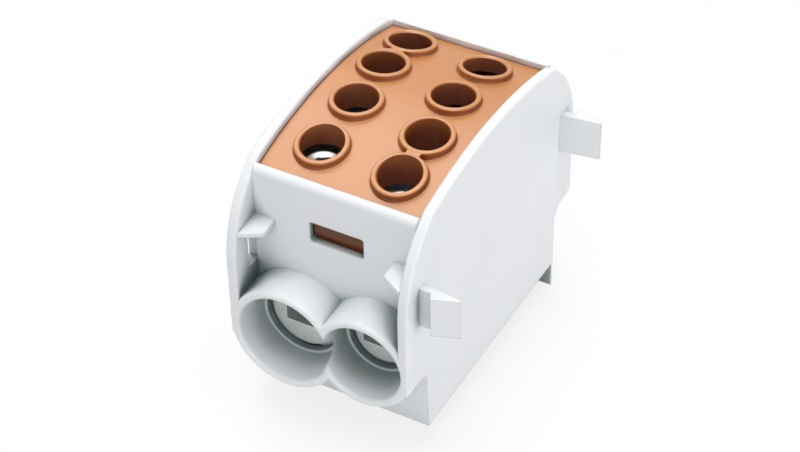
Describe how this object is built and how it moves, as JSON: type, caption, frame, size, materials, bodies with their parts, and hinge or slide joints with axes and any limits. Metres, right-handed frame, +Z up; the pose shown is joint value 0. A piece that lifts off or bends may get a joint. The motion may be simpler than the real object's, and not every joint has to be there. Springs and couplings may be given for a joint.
{
  "type": "distribution block",
  "caption": "Modular distribution block with an arched screw cover, paired round funnels at both ends and side hooks, for a 35 mm rail",
  "frame": {"origin": "middle of the face that sits on the mounting rail", "axes": "+Z up, away from the rail; +Y from the front funnels to the rear ones, along the conductors; +X along the rail, towards the side hooks"},
  "size_m": [0.0365, 0.0546, 0.0472],
  "materials": {
    "housing_plastic": "fine matt moulded texture",
    "cover_plastic": "satin moulded surface",
    "tinned_metal": "dull tin plating",
    "screw_steel": "bright zinc plating"
  },
  "bodies": {
    "block": {"housing": "housing_plastic", "cover": "cover_plastic", "terminal_block": "tinned_metal"},
    "front_large_outer": {"front_large_outer_screw": "screw_steel"},
    "front_large_inner": {"front_large_inner_screw": "screw_steel"},
    "front_small_outer": {"front_small_outer_screw": "screw_steel"},
    "front_small_inner": {"front_small_inner_screw": "screw_steel"},
    "rear_large_outer": {"rear_large_outer_screw": "screw_steel"},
    "rear_large_inner": {"rear_large_inner_screw": "screw_steel"},
    "rear_small_outer": {"rear_small_outer_screw": "screw_steel"},
    "rear_small_inner": {"rear_small_inner_screw": "screw_steel"}
  },
  "joints": [
    {"name": "front_large_outer_screw_travel", "type": "slide", "parent": "block", "child": "front_large_outer", "axis": [0, 0, 1], "range_m": [-0.0058, 0.003]},
    {"name": "front_large_inner_screw_travel", "type": "slide", "parent": "block", "child": "front_large_inner", "axis": [0, 0, 1], "range_m": [-0.0058, 0.003]},
    {"name": "front_small_outer_screw_travel", "type": "slide", "parent": "block", "child": "front_small_outer", "axis": [0, 0, 1], "range_m": [-0.0048, 0.004]},
    {"name": "front_small_inner_screw_travel", "type": "slide", "parent": "block", "child": "front_small_inner", "axis": [0, 0, 1], "range_m": [-0.0048, 0.004]},
    {"name": "rear_large_outer_screw_travel", "type": "slide", "parent": "block", "child": "rear_large_outer", "axis": [0, 0, 1], "range_m": [-0.0058, 0.003]},
    {"name": "rear_large_inner_screw_travel", "type": "slide", "parent": "block", "child": "rear_large_inner", "axis": [0, 0, 1], "range_m": [-0.0058, 0.003]},
    {"name": "rear_small_outer_screw_travel", "type": "slide", "parent": "block", "child": "rear_small_outer", "axis": [0, 0, 1], "range_m": [-0.0048, 0.004]},
    {"name": "rear_small_inner_screw_travel", "type": "slide", "parent": "block", "child": "rear_small_inner", "axis": [0, 0, 1], "range_m": [-0.0048, 0.004]}
  ]
}
